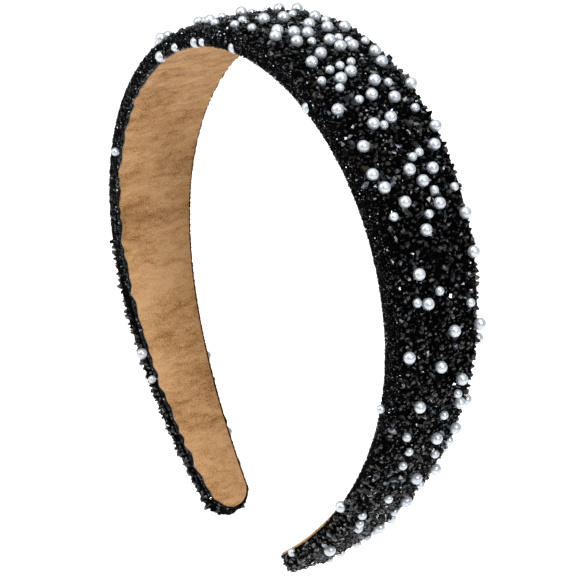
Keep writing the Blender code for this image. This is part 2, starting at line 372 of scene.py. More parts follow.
@dataclass
class BandHalf:
    """What every layer of one half of the band has: the hoop, the side, and the way it joins the frame."""

    hoop: Hoop
    side: Side
    blend_start: float = 12 * MM
    blend_end: float = 130 * MM
    station_step: float = 1 * MM
    last_step: float = 0.3 * MM
    end_gaps: tuple[float, ...] = (0.0,)

    def stations(self, end: float) -> Array:
        """Lengths at even steps until the last step, and then those just short of the end."""
        even = np.arange(0, end - self.last_step, self.station_step)
        return np.append(even, [end - gap for gap in self.end_gaps])

    def flat(self, run: Array, across: Array, height: Array | float = 0.0) -> Array:
        """The places on the unrolled band that a piece's patterns follow."""
        run, across, height = np.broadcast_arrays(run, across, height)
        return np.stack([self.side.value * run, across, height], axis=-1).reshape(-1, 3)

    def loft(self, name: str, stations: Array, across: Array, height: Array) -> Piece:
        """Joins closed sections into a solid with flat ends.

        Args:
            name: The piece's name.
            stations: The sections' lengths along the hoop.
            across: Each section's distances across, one row per station.
            height: Each section's heights, one row per station.

        Returns:
            The piece.
        """
        rows, columns = across.shape
        run = np.repeat(stations[:, None], columns, axis=1)
        points = self.hoop.place(self.side, run.ravel(), across.ravel(), height.ravel())
        faces = grid_faces(rows, columns, ring=True)
        ends = [list(range(columns)), [(rows - 1) * columns + c for c in range(columns)]]
        faces += [ends[0], ends[1][::-1]]
        if self.side is Side.LEFT:
            faces = [face[::-1] for face in faces]
        piece = new_piece(name, points, faces, self.flat(run, across, height))
        piece.data.set_sharp_from_angle(angle=math.radians(40))
        return piece

    def join_frame(self, piece: Piece, slot: str, nodes: list[str]) -> None:
        """Bakes a piece's placement into its mesh and hides the CAD nodes that it stands for."""
        start = self.hoop.place(self.side, self.blend_start, 0, 0)[0]
        end = self.hoop.place(self.side, self.blend_end, 0, 0)[0]
        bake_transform(piece)
        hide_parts(*nodes)
        log.info("%s: %d faces, for %d nodes", piece.name, len(piece.data.polygons), len(nodes))

    def layer_nodes(self, layer: str) -> list[str]:
        """The CAD nodes of a layer that this half stands for."""
        return [f"{layer}_crown", f"{layer}_{self.side.leg}"]


# ---- Materials ----


class NodeTree:
    """A node tree with short ways to add and join nodes."""

    def __init__(self, tree: bpy.types.NodeTree) -> None:
        """Takes the tree to build in."""
        self.tree = tree

    def add(self, kind: str, **settings: object) -> Node:
        """Adds a node.

        Args:
            kind: The node's type, without its ShaderNode prefix.
            **settings: Properties of the node, or, with spaces as underscores, values of its inputs.

        Returns:
            The node.
        """
        node = self.tree.nodes.new("ShaderNode" + kind)
        for name, value in settings.items():
            if hasattr(node, name):
                setattr(node, name, value)
            else:
                self.feed(node, name.replace("_", " "), value)
        return node

    def feed(self, node: Node, name: str, value: object) -> None:
        """Sets a named input's value, or links an output to it."""
        matches = (socket for socket in node.inputs if socket.name.lower() == name.lower() and socket.enabled)
        self.join(next(matches), value)

    def join(self, socket: Socket, value: object) -> None:
        """Sets an input's value, or links an output to it."""
        if isinstance(value, Socket):
            self.tree.links.new(value, socket)
        else:
            socket.default_value = value

    def maths(self, operation: str, *values: object, kind: str = "Math", output: int = 0) -> Socket:
        """The result of a Math or a VectorMath node on values or outputs."""
        node = self.add(kind, operation=operation)
        for socket, value in zip(node.inputs, values):
            self.join(socket, value)
        return node.outputs[output]

    def ramp(self, value: Socket, stops: list[tuple[float, Colour]]) -> Socket:
        """The colour that a Color Ramp gives a value."""
        node = self.add("ValToRGB", Fac=value)
        elements = node.color_ramp.elements
        while len(elements) < len(stops):
            elements.new(0.5)
        for element, (position, colour) in zip(elements, stops):
            element.position = position
            element.color = (*colour, 1)
        return node.outputs["Color"]

    def spread(self, value: Socket, given: Pair, wanted: Pair) -> Socket:
        """A value that goes from one span, spread over another."""
        limits = {"From_Min": given[0], "From_Max": given[1], "To_Min": wanted[0], "To_Max": wanted[1]}
        return self.add("MapRange", Value=value, **limits).outputs["Result"]

    def effect(self, group: bpy.types.NodeTree, **values: float) -> Node:
        """Lays a shader group on the unrolled band, whose places are in metres."""
        place = self.add("Attribute", attribute_name=FLAT).outputs["Vector"]
        return self.add("Group", node_tree=group, Vector=place, **values)


UNIT = (0.0, 1.0)


class Group(NodeTree):
    """A shader node group that puts out plain values."""

    def __init__(self, name: str, inputs: dict[str, float], outputs: list[str]) -> None:
        """Starts the group.

        Args:
            name: The group's name.
            inputs: The names of its inputs besides its vector, each with its starting value.
            outputs: The names of its outputs.
        """
        super().__init__(bpy.data.node_groups.new(name, "ShaderNodeTree"))
        face = self.tree.interface
        face.new_socket("Vector", in_out="INPUT", socket_type="NodeSocketVector")
        for socket, value in inputs.items():
            face.new_socket(socket, in_out="INPUT", socket_type="NodeSocketFloat").default_value = value
        for socket in outputs:
            face.new_socket(socket, in_out="OUTPUT", socket_type="NodeSocketFloat")
        self.given = self.tree.nodes.new("NodeGroupInput").outputs
        self.out = self.tree.nodes.new("NodeGroupOutput")


class Effects:
    """The shader groups that several finishes share."""

    def __init__(self) -> None:
        """Builds each group once."""
        self.grain = self.build_grain()
        self.nap = self.build_nap()
        self.weave = self.build_weave()

    @staticmethod
    def build_grain() -> bpy.types.NodeTree:
        """A fine even mottle whose contrast is set by two thresholds."""
        group = Group("fine_grain", {"Scale": 500.0, "Low": 0.35, "High": 0.65}, ["Mask"])
        given = group.given
        noise = group.add("TexNoise", Vector=given["Vector"], Scale=given["Scale"], Detail=3.0)
        mask = group.spread(noise.outputs["Fac"], (given["Low"], given["High"]), UNIT)
        group.feed(group.out, "Mask", mask)
        return group.tree

    @staticmethod
    def build_nap() -> bpy.types.NodeTree:
        """Brushed streaks, stretched across the band, with their height."""
        group = Group("brushed_nap", {"Along": 220.0, "Across": 60.0, "Ragged": 0.6}, ["Mask", "Height"])
        given = group.given
        scale = group.add("CombineXYZ", X=given["Along"], Y=given["Across"], Z=1.0).outputs[0]
        place = group.maths("MULTIPLY", given["Vector"], scale, kind="VectorMath")
        settings = {"Scale": 1.0, "Detail": 4.0, "Roughness": given["Ragged"], "Distortion": 0.6}
        streaks = group.add("TexNoise", Vector=place, **settings).outputs["Fac"]
        group.feed(group.out, "Mask", group.spread(streaks, (0.3, 0.7), UNIT))
        group.feed(group.out, "Height", streaks)
        return group.tree

    @staticmethod
    def build_weave() -> bpy.types.NodeTree:
        """A plain weave's threads over and under, for cloth laid along the band."""
        group = Group("plain_weave", {"Pitch": 0.4 * MM}, ["Mask", "Height"])
        parts = group.add("SeparateXYZ", Vector=group.given["Vector"]).outputs
        waves = []
        for axis in ("X", "Y"):
            turns = group.maths("DIVIDE", parts[axis], group.given["Pitch"])
            waves.append(group.maths("SINE", group.maths("MULTIPLY", turns, 2 * math.pi)))
        height = group.maths("MULTIPLY_ADD", group.maths("MULTIPLY", *waves), 0.5, 0.5)
        for socket in ("Mask", "Height"):
            group.feed(group.out, socket, height)
        return group.tree


class Finisher(NodeTree):
    """A material with its tree and its Principled shader."""

    def __init__(self, name: str) -> None:
        """Makes the material."""
        self.material = bpy.data.materials.new(name)
        self.material.use_nodes = True
        super().__init__(self.material.node_tree)
        self.shader = self.tree.nodes["Principled BSDF"]

    def set_plain(self, **values: object) -> None:
        """Sets plain values on the shader's own sockets, with spaces as underscores."""
        for name, value in values.items():
            self.shader.inputs[name.replace("_", " ")].default_value = value

    def set_surface(self, colour: Socket, rough: Socket, height: Socket, bump: Pair) -> None:
        """Joins the patterns to the shader.

        Args:
            colour: The colour.
            rough: The roughness.
            height: The relief's height.
            bump: The relief's strength and its depth.
        """
        relief = self.add("Bump", Strength=bump[0], Distance=bump[1], Height=height)
        self.feed(self.shader, "Base Color", colour)
        self.feed(self.shader, "Roughness", rough)
        self.feed(self.shader, "Normal", relief.outputs["Normal"])


@dataclass(frozen=True)
class Glass:
    """One finish of crushed glass: cut faces of one colour, clear or backed with foil."""

    name: str
    colour: Colour
    roughness: float
    shine: float = 0.5
    metallic: float = 0.0

    def build(self) -> bpy.types.Material:
        """Makes the material."""
        made = Finisher(self.name)
        made.material.diffuse_color = (*self.colour, 1)
        made.set_plain(Base_Color=(*self.colour, 1), Roughness=self.roughness)
        made.set_plain(Metallic=self.metallic, Specular_IOR_Level=self.shine)
        return made.material


GLASSES = {
    Finish.JET: Glass("jet_glass", (0.0004, 0.0004, 0.0005), 0.09, shine=0.26),
    Finish.INK: Glass("ink_glass", (0.045, 0.046, 0.049), 0.16, metallic=0.7),
    Finish.SMOKE: Glass("smoke_glass", (0.010, 0.0105, 0.011), 0.26),
    Finish.OLIVE: Glass("olive_glass", (0.016, 0.012, 0.004), 0.2),
    Finish.STEEL: Glass("steel_glass", (0.13, 0.143, 0.16), 0.18, metallic=0.8),
    Finish.GLINT: Glass("foiled_glass", (0.74, 0.71, 0.66), 0.22, metallic=0.85),
}


@dataclass(frozen=True)
class Suede:
    """Microsuede with a nap: pale where it is brushed one way, and brown where it is brushed the other."""

    name: str = "tan_suede"
    pale: Colour = (0.64, 0.385, 0.19)
    middle: Colour = (0.50, 0.275, 0.112)
    brown: Colour = (0.25, 0.12, 0.038)
    fibre_scale: float = 2600.0

    def build(self, effects: Effects) -> bpy.types.Material:
        """Makes the material."""
        made = Finisher(self.name)
        broad = made.effect(effects.nap, Along=75.0, Across=26.0, Ragged=0.6).outputs["Mask"]
        fine = made.effect(effects.nap, Along=520.0, Across=190.0, Ragged=0.7).outputs
        fibre = made.effect(effects.grain, Scale=self.fibre_scale).outputs["Mask"]
        mixed = -0.12
        for mask, share in ((broad, 0.54), (fine["Mask"], 0.42), (fibre, 0.36)):
            mixed = made.maths("MULTIPLY_ADD", mask, share, mixed)
        colour = made.ramp(mixed, [(0.2, self.brown), (0.5, self.middle), (0.8, self.pale)])
        height = made.maths("MULTIPLY_ADD", fibre, 0.4, fine["Height"])
        rough = made.spread(fine["Mask"], UNIT, (0.92, 0.8))
        made.set_surface(colour, rough, height, (0.5, 0.25 * MM))
        made.set_plain(Specular_IOR_Level=0.15, Sheen_Weight=0.25, Sheen_Roughness=0.5)
        made.set_plain(Sheen_Tint=(0.9, 0.75, 0.6, 1))
        return made.material


@dataclass(frozen=True)
class BlackCloth:
    """Black woven cloth that carries the crystals."""

    name: str = "black_cloth"
    thread: Colour = (0.012, 0.012, 0.013)
    gap: Colour = (0.002, 0.002, 0.002)
    pitch: float = 0.4 * MM

    def build(self, effects: Effects) -> bpy.types.Material:
        """Makes the material."""
        made = Finisher(self.name)
        weave = made.effect(effects.weave, Pitch=self.pitch).outputs
        colour = made.ramp(weave["Mask"], [(0.2, self.gap), (0.8, self.thread)])
        rough = made.spread(weave["Mask"], UNIT, (0.9, 0.7))
        made.set_surface(colour, rough, weave["Height"], (0.6, 0.1 * MM))
        made.set_plain(Sheen_Weight=0.1, Specular_IOR_Level=0.3)
        return made.material


@dataclass(frozen=True)
class Nacre:
    """A white imitation pearl's lacquer: cloudy white, partly metallic, under a clear coat."""

    name: str = "white_nacre"
    white: Colour = (0.66, 0.695, 0.735)
    shade: Colour = (0.51, 0.555, 0.605)

    def build(self, effects: Effects) -> bpy.types.Material:
        """Makes the material."""
        made = Finisher(self.name)
        cloud = made.effect(effects.grain, Scale=420.0, Low=0.3, High=0.7).outputs["Mask"]
        peel = made.effect(effects.grain, Scale=2200.0, Low=0.3, High=0.7).outputs["Mask"]
        colour = made.ramp(cloud, [(0.0, self.shade), (1.0, self.white)])
        made.set_surface(colour, made.spread(peel, UNIT, (0.28, 0.38)), peel, (0.02, 0.05 * MM))
        made.set_plain(Metallic=0.52, Coat_Weight=1.0, Coat_Roughness=0.12, Coat_IOR=1.5, IOR=1.6)
        return made.material


@dataclass(frozen=True)
class Mottled:
    """A plain stuff with a mottle of two tones: the glue, or the plastic, foam or film inside the band."""

    name: str
    dark: Colour
    light: Colour
    roughness: Pair
    bump: Pair
    grain: dict[str, float]
    shine: float = 0.5

    def build(self, effects: Effects) -> bpy.types.Material:
        """Makes the material."""
        made = Finisher(self.name)
        mask = made.effect(effects.grain, **self.grain).outputs["Mask"]
        colour = made.ramp(mask, [(0.0, self.dark), (1.0, self.light)])
        made.set_surface(colour, made.spread(mask, UNIT, self.roughness), mask, self.bump)
        made.set_plain(Specular_IOR_Level=self.shine)
        return made.material


GLUE = Mottled(
    name="black_glue",
    dark=(0.0001, 0.0001, 0.0001),
    light=(0.0009, 0.001, 0.0011),
    roughness=(0.45, 0.8),
    bump=(0.7, 0.2 * MM),
    grain={"Scale": 1900.0, "Low": 0.4, "High": 0.7},
    shine=0.01,
)
SPRING_PLASTIC = Mottled(
    name="spring_plastic",
    dark=(0.022, 0.022, 0.024),
    light=(0.035, 0.035, 0.037),
    roughness=(0.35, 0.5),
    bump=(0.15, 0.1 * MM),
    grain={"Scale": 900.0},
)
FOAM = Mottled(
    name="padding_foam",
    dark=(0.03, 0.03, 0.032),
    light=(0.09, 0.09, 0.095),
    roughness=(0.9, 1.0),
    bump=(0.8, 0.1 * MM),
    grain={"Scale": 2400.0},
)
FILM = Mottled(
    name="adhesive_film",
    dark=(0.50, 0.48, 0.42),
    light=(0.62, 0.60, 0.54),
    roughness=(0.3, 0.5),
    bump=(0.2, 0.1 * MM),
    grain={"Scale": 700.0},
)


class Palette:
    """Every finish of the headband, built once."""

    def __init__(self) -> None:
        """Builds the shared effects and then the materials."""
        stuffs = (Suede(), BlackCloth(), GLUE, Nacre(), SPRING_PLASTIC, FOAM, FILM)
        effects = Effects()
        made = [stuff.build(effects) for stuff in stuffs]
        self.suede, self.cloth, self.glue, self.nacre, self.spring, self.foam, self.film = made
        self.glasses = [GLASSES[finish].build() for finish in Finish]


# ---- The layers from the head outwards ----


@dataclass
class Lining(BandHalf):
    """The suede strip: an inner face with soft folds, and a front edge cut by hand in shallow points."""

    back_margin: float = 0.6 * MM
    front_margin: float = 1.3 * MM
    overhang: float = 0.22 * MM
    overhang_start: float = 0.72  # as a share of the half hoop
    overhang_spread: float = 0.12
    wrinkle: float = 0.2 * MM
    crown_wrinkle: float = 1.5
    crown_reach: float = 80 * MM
    soft_edge: float = 0.14 * MM
    fold_fade: float = 0.1  # as a share of the half width
    points: int = 90
    point_gaps: Pair = (3.2 * MM, 7.5 * MM)
    point_reach: Pair = (0.3 * MM, 1.3 * MM)
    point_width: float = 0.62  # as a share of the gap to the next point
    point_power: float = 1.2
    columns: int = 30
    station_step: float = 0.55 * MM
    last_step: float = 0.2 * MM
    end_gaps: tuple[float, ...] = (0.05 * MM,)
    seed: int = 11

    def gap(self, run: Array) -> Array:
        """How far the front edge stays inside the band's outline."""
        rng = np.random.default_rng(self.seed + self.side.value)
        gaps = rng.uniform(*self.point_gaps, self.points)
        tops = np.cumsum(gaps) - gaps[0] / 2
        reach = rng.uniform(*self.point_reach, self.points)
        lean = np.abs(np.asarray(run)[..., None] - tops) / (gaps * self.point_width)
        inside = self.front_margin - (reach * np.clip(1 - lean, 0, 1) ** self.point_power).max(axis=-1)
        if self.side is Side.RIGHT:
            return inside
        lower = np.clip((run / self.hoop.length - self.overhang_start) / self.overhang_spread, 0, 1)
        return inside * (1 - lower) - self.overhang * lower

    def build(self, palette: Palette) -> None:
        """Makes the strip and fits it to the frame."""
        end = self.hoop.length - self.back_margin
        stations = self.stations(end)
        half = self.hoop.outline(stations, self.back_margin)
        shift = np.minimum(self.gap(stations) - self.back_margin, half * 0.6)
        front, back = (half - shift)[:, None], half[:, None]
        soft = np.minimum(self.soft_edge, half * 0.3)[:, None]
        thickness = self.hoop.lining_thickness
        spread = np.linspace(1, -1, self.columns)
        inner = np.where(spread > 0, spread * (back - soft), spread * (front - soft))
        folds = self.folds(stations[:, None] * self.side.value, inner)
        crown = np.clip(1 - stations / self.crown_reach, 0, 1)
        depth = self.wrinkle * (1 + self.crown_wrinkle * crown)[:, None]
        low = -folds * depth * np.clip((1 - np.abs(spread)) / self.fold_fade, 0, 1)
        outer = inner[:, ::-1]
        middle = np.full_like(half, thickness / 2)[:, None]
        across = np.concatenate([inner, -front, outer, back], axis=1)
        height = np.concatenate([low, middle, np.full_like(outer, thickness), middle], axis=1)
        strip = self.loft(f"lining_{self.side.word}", stations, across, height)
        strip.data.materials.append(palette.suede)
        self.join_frame(strip, "lining", self.layer_nodes("lining"))

    def folds(self, run: Array, across: Array) -> Array:
        """The soft folds of the glued suede, in the same pattern on both halves."""
        rng = np.random.default_rng(self.seed)
        broad = ripple(rng, run, across, (7 * MM, 16 * MM), 0.5, 7)
        fine = ripple(rng, run, across, (2.2 * MM, 4.5 * MM), 0.6, 9)
        return 0.65 * broad + 0.35 * fine


@dataclass
class HiddenLayers(BandHalf):
    """The lining tape, the spring core and the foam, which are all closed in."""

    inset: float = 1.8 * MM
    tape_inset: float = 2.6 * MM
    tape_heights: Pair = (0.66 * MM, 0.84 * MM)
    core_heights: Pair = (1.5 * MM, 2.7 * MM)
    padding_heights: Pair = (3.0 * MM, 3.3 * MM)
    soft_edge: float = 0.25 * MM
    tip_gap: float = 0.1 * MM
    columns: int = 14
    station_step: float = 1.5 * MM
    last_step: float = 0.5 * MM

    def slab(self, layer: str, inset: float, heights: Pair, rises: Pair) -> Piece:
        """Makes a strip with soft edges and a domed top.

        Args:
            layer: The strip's name without its side.
            inset: How far inside the band's outline it stays.
            heights: The heights of its lower face, and of its upper face at the edges.
            rises: How much higher the upper face is in the middle, at the crown and at the tip.

        Returns:
            The piece.
        """
        low, high = heights
        stations = self.stations(self.hoop.length - inset - self.tip_gap)
        half = self.hoop.outline(stations, inset)[:, None]
        spread = np.linspace(-1, 1, self.columns)
        soft = np.minimum(self.soft_edge, half * 0.2)
        rise = self.hoop.tapered(stations, *rises)[:, None]
        bottom = spread * (half - soft)
        top = spread[::-1] * (half - soft)
        middle = np.full_like(half, (low + high) / 2)
        across = np.concatenate([bottom, half, top, -half], axis=1)
        domed = high + rise * (1 - np.abs(spread[::-1]) ** self.hoop.dome_power)
        height = np.concatenate([np.full_like(bottom, low), middle, domed, middle], axis=1)
        return self.loft(f"{layer}_{self.side.word}", stations, across, height)

    def build(self, palette: Palette) -> None:
        """Makes the three strips and fits them to the frame."""
        flat, dome = (0.0, 0.0), (self.hoop.crown_rise, self.hoop.tip_rise)
        for layer, inset, heights, rises, material in (
            ("lining_tape", self.tape_inset, self.tape_heights, flat, palette.film),
            ("core", self.inset, self.core_heights, flat, palette.spring),
            ("padding", self.inset, self.padding_heights, dome, palette.foam),
        ):
            piece = self.slab(layer, inset, heights, rises)
            piece.data.materials.append(material)
            self.join_frame(piece, layer, self.layer_nodes(layer))


@dataclass
class Wrap(BandHalf):
    """A skin over the outer face and down the rims: the base cloth or the glue on it."""

    name: str = "wrap"
    layer: str = "base_cloth"
    inset: float = 0.75 * MM
    shoulder: float = 3.9 * MM
    swell: float = 0.0
    foot: float = 0.9 * MM
    hem: bool = True
    crown_hem: float = 6.0 * MM
    tip_hem: float = 2.2 * MM
    lumps: float = 0.0
    lump_widths: Pair = (1.6 * MM, 3.4 * MM)
    lump_waves: int = 12
    thickness: float = 0.28 * MM
    weld_gap: float = 0.004 * MM
    columns: int = 56
    hem_columns: int = 6
    station_step: float = 0.7 * MM
    end_gaps: tuple[float, ...] = (0.12 * MM, 0.01 * MM)
    seed: int = 23

    def skin(self) -> Skin:
        """The surface that it follows."""
        return Skin(self.hoop, self.inset, self.shoulder, self.swell, self.foot)

    def hems(self, stations: Array) -> tuple[Array, Array]:
        """The half width at each station, and how deep the hem is there."""
        half = self.skin().parts(stations)[0]
        return half, np.minimum(self.hoop.tapered(stations, self.crown_hem, self.tip_hem), half * 0.95)

    def build(self, material: bpy.types.Material) -> Piece:
        """Makes the skin, gives it its thickness and fits it to the frame."""
        skin = self.skin()
        stations = self.stations(self.hoop.length - self.inset)
        spread = np.linspace(-1, 1, self.columns)
        run = np.repeat(stations[:, None], self.columns, axis=1)
        arc = spread * skin.reach(stations)[:, None]
        across, height, n_across, n_out = skin.section(run, arc)
        if self.lumps:
            rng = np.random.default_rng(self.seed)
            waves = ripple(rng, run * self.side.value, arc, self.lump_widths, 1.0, self.lump_waves)
            lift = self.lumps * waves
            across, height = across + n_across * lift, height + n_out * lift
        if self.hem:
            run, across, height = self.turned_under(stations, run, across, height)
        rows, columns = run.shape
        points = self.hoop.place(self.side, run.ravel(), across.ravel(), height.ravel())
        faces = grid_faces(rows, columns)
        if self.side is Side.RIGHT:
            faces = [face[::-1] for face in faces]
        piece = new_piece(f"{self.name}_{self.side.word}", points, faces, self.flat(run, across, height))
        weld = piece.modifiers.new("weld", "WELD")
        weld.merge_threshold = self.weld_gap
        shell = piece.modifiers.new("shell", "SOLIDIFY")
        shell.thickness, shell.offset, shell.use_rim = self.thickness, -1, True
        settle(piece)
        piece.data.materials.append(material)
        self.join_frame(piece, self.layer, self.layer_nodes(self.layer))
        return piece

    def turned_under(self, stations: Array, *grids: Array) -> list[Array]:
        """Adds the hems that are turned in under the core to the grids of run, across and height."""
        half, depth = self.hems(stations)
        steps = np.linspace(0.06, 1, self.hem_columns)
        inward = half[:, None] - depth[:, None] * steps
        low = np.full_like(inward, self.foot)
        extra = np.repeat(stations[:, None], len(steps), axis=1)
        before = (extra, -inward[:, ::-1], low)
        after = (extra, inward, low)
        return [np.concatenate(parts, axis=1) for parts in zip(before, grids, after)]

    def declare_sheet(self, piece: Piece) -> None:
        """Works out the widths of cloth that the skin was cut from, but does nothing with them."""
        stations = np.linspace(0, self.hoop.length - self.inset, 200)
        widths = 2 * (self.skin().reach(stations) + self.hems(stations)[1])


# ---- Pearls ----


PEARLS_PER_TENTH = {  # of the half hoop, from the crown to the tip
    Side.LEFT: (18, 19, 13, 7, 8, 9, 9, 8, 6, 4),
    Side.RIGHT: (12, 12, 11, 8, 9, 8, 8, 7, 6, 4),
}
RIM_PEARLS = {  # shares of the half hoop, for a large and a small pearl in turn
    Side.LEFT: (0.14, 0.56, 0.76, 0.94),
    Side.RIGHT: (0.03, 0.1, 0.12, 0.17, 0.215, 0.43, 0.74, 0.78),
}


@dataclass
class Pearl:
    """One pearl: its centre, its radius and its place on the unrolled band."""

    centre: Array
    radius: float
    run: float
    across: float


@dataclass
class Pearls(BandHalf):
    """The pearls of one half: those that the frame holds, those in the front rim, and a loose scatter."""

    large: float = 0.0
    small: float = 0.0
    large_share: float = 0.58
    embed: float = 0.45 * MM
    cluster_share: float = 0.17
    cluster_gaps: Pair = (1.03, 1.12)  # as shares of touching
    free_gap: float = 1.1 * MM
    free_places: Pair = (-0.8, 0.5)  # as shares of the half width
    back_places: Pair = (0.55, 1.02)
    back_odds: tuple[float, ...] = (0.12, 0.12, 0.25, 0.25, 0.6, 0.6, 0.6, 0.6, 0.85, 0.85)
    most_tries: int = 400
    crown_gap: float = 1.0 * MM
    tip_gap: float = 3.0 * MM
    front_gap: float = 1.0 * MM
    back_overhang: float = 0.3 * MM
    width_margin: float = 0.45 * MM
    rim_length: float = 3.0 * MM
    rim_drop: float = 2.3 * MM
    box_margin: float = 0.7 * MM
    divisions: int = 4
    seed: int = 5
    skin: Skin | None = None
    found: list[Pearl] = field(default_factory=list)
    nodes: dict[bool, list[str]] = field(default_factory=lambda: {True: [], False: []})

    def gather(self, names: list[str]) -> None:
        """Reads the frame's own pearls of this half, then adds the rim's pearls and the scatter."""
        own = sorted(name for name in names if name.startswith(f"pearl_{self.side.word}_"))
        boxes = {name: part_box(name) for name in own}
        widths = {name: max(high - low) for name, (low, high) in boxes.items()}
        self.large, self.small = max(widths.values()), min(widths.values())
        for name, (low, high) in boxes.items():
            large = widths[name] > (self.large + self.small) / 2
            self.nodes[large].append(name)
            centre = np.array((low + high) / 2)
            radius = (self.large if large else self.small) / 2
            self.found.append(Pearl(centre, radius, self.nearest_run(centre), float(centre[1])))
        self.add_rim_pearls()
        self.scatter()

    def add_rim_pearls(self) -> None:
        """Seats the pearls that are sunk into the front rim, deeper where the band is widest."""
        for number, share in enumerate(RIM_PEARLS[self.side]):
            run = np.array([share * self.hoop.length])
            radius = (self.small if number % 2 else self.large) / 2
            half, flat, corner, _ = (float(part[0]) for part in self.skin.parts(run))
            arc = -(flat + corner * math.pi / 2 + self.rim_drop)
            point, _, normal = self.skin.seats(self.side, run, np.array([arc]))
            stands = min(2 * radius - self.embed, self.hoop.crown_half + self.box_margin - half)
            centre = (point + normal * (stands - radius))[0]
            self.found.append(Pearl(centre, radius, float(run[0]), float(point[0, 1])))

    def nearest_run(self, centre: Array) -> float:
        """The length along the hoop that is nearest to a point."""
        curve = self.hoop.curve
        gap = np.hypot(curve["x"] * self.side.value - centre[0], curve["z"] - centre[2])
        return float(curve["run"][np.argmin(gap)])

    def scatter(self) -> None:
        """Adds seeded pearls until each tenth of the half hoop holds its number."""
        rng = np.random.default_rng(self.seed + 10 * self.side.value + 10)
        for tenth, wanted in enumerate(PEARLS_PER_TENTH[self.side]):
            low, high = tenth / 10 * self.hoop.length, (tenth + 1) / 10 * self.hoop.length
            tries = 0
            while sum(low <= pearl.run < high for pearl in self.found) < wanted and tries < self.most_tries:
                tries += 1
                radius = (self.large if rng.random() < self.large_share else self.small) / 2
                if rng.random() < self.cluster_share:
                    self.try_place(*self.beside(rng, low, high, radius), radius, 0.0)
                else:
                    self.try_place(rng.uniform(low, high), self.free_place(rng, tenth), radius, self.free_gap)

    def beside(self, rng: Draws, low: float, high: float, radius: float) -> tuple[float, float]:
        """A place next to a pearl already there."""
        near = [pearl for pearl in self.found if low <= pearl.run < high] or self.found
        host = near[rng.integers(len(near))]
        angle, gap = rng.uniform(0, 2 * math.pi), (host.radius + radius) * rng.uniform(*self.cluster_gaps)
        return host.run + gap * math.cos(angle), host.across + gap * math.sin(angle)

    def free_place(self, rng: Draws, tenth: int) -> float:
        """A distance across, likelier towards the back edge on the lower leg."""
        half = float(self.hoop.outline((tenth + 0.5) / 10 * self.hoop.length))
        at_back = rng.random() < self.back_odds[tenth]
        return rng.uniform(*(self.back_places if at_back else self.free_places)) * half

    def try_place(self, run: float, across: float, radius: float, gap: float) -> None:
        """Seats a pearl if there is room for it, with a gap to its neighbours."""
        if not self.crown_gap < run < self.hoop.length - self.tip_gap:
            return
        half = float(self.hoop.outline(run))
        if not -half + self.front_gap <= across <= half + self.back_overhang:
            return
        if abs(across) + radius > self.hoop.crown_half + self.width_margin:
            return
        ratio = float(self.skin.reach(np.array([run]))[0]) / (half + self.rim_length)
        arc = across * max(ratio, 1.0) if across > half * 0.85 else across
        point, _, normal = self.skin.seats(self.side, np.array([run]), np.array([arc]))
        centre = (point + normal * (radius - self.embed))[0]
        if abs(centre[1]) + radius > self.hoop.crown_half + self.box_margin:
            return
        if any(np.linalg.norm(centre - other.centre) < radius + other.radius + gap for other in self.found):
            return
        self.found.append(Pearl(centre, radius, run, across))

    def build(self, palette: Palette) -> None:
        """Makes the large and the small pearls and fits them to the frame."""
        ball_points, ball_faces = unit_ball(self.divisions)
        for large, word in ((True, "large"), (False, "small")):
            chosen = [p for p in self.found if (p.radius > (self.large + self.small) / 4) == large]
            points = np.concatenate([ball_points * p.radius + p.centre for p in chosen])
            faces = np.concatenate([ball_faces + i * len(ball_points) for i in range(len(chosen))])
            piece = new_piece(f"pearls_{word}_{self.side.word}", points, faces.tolist(), points)
            piece.data.materials.append(palette.nacre)
            self.join_frame(piece, "pearl", self.nodes[large])
            log.info("%s: %d pearls", piece.name, len(chosen))


# ---- Crushed crystal ----


@dataclass
class Cut:
    """One shape of crushed chip, about 1 across and 1 high, with flat faces."""

    points: Array
    faces: Array

    @classmethod
    def broken(cls, rng: Draws) -> Cut:
        """A broken chip: a ragged base, a smaller ragged top, and slanting sides."""
        sides = int(rng.integers(3, 6))
        angles = (np.arange(sides) + rng.uniform(-0.28, 0.28, sides)) * 2 * math.pi / sides
        reach = rng.uniform(0.44, 0.58, sides)
        depth = rng.uniform(-0.5, -0.4, sides)
        base = np.stack([np.cos(angles) * reach, np.sin(angles) * reach, depth], axis=1)
        shrink, shift = rng.choice([0.22, 0.42, 0.66]), rng.uniform(-0.2, 0.2, 2)
        slant = rng.uniform(-0.4, 0.4, 2)
        top = base * (shrink, shrink, 0) + (*shift, 0.5)
        top[:, 2] += top[:, :2] @ slant + rng.uniform(-0.14, 0.14, sides)
        here = np.arange(sides)
        nxt = (here + 1) % sides
        walls = [np.stack([here, nxt, nxt + sides], 1), np.stack([here, nxt + sides, here + sides], 1)]
        fan = np.array([[0, i, i + 1] for i in range(1, sides - 1)])
        return cls(np.concatenate([base, top]), np.concatenate([*walls, fan[:, ::-1], fan + sides]))

    @classmethod
    def grain(cls, rng: Draws) -> Cut:
        """A grain of crushed glass with eight faces."""
        axes = np.array([[1, 0, 0], [0, 1, 0], [-1, 0, 0], [0, -1, 0], [0, 0, 1], [0, 0, -1]], float)
        points = axes * rng.uniform(0.4, 0.6, (6, 1)) + rng.uniform(-0.08, 0.08, (6, 3))
        ring = [(0, 1), (1, 2), (2, 3), (3, 0)]
        faces = [[a, b, 4] for a, b in ring] + [[b, a, 5] for a, b in ring]
        return cls(points, np.array(faces))


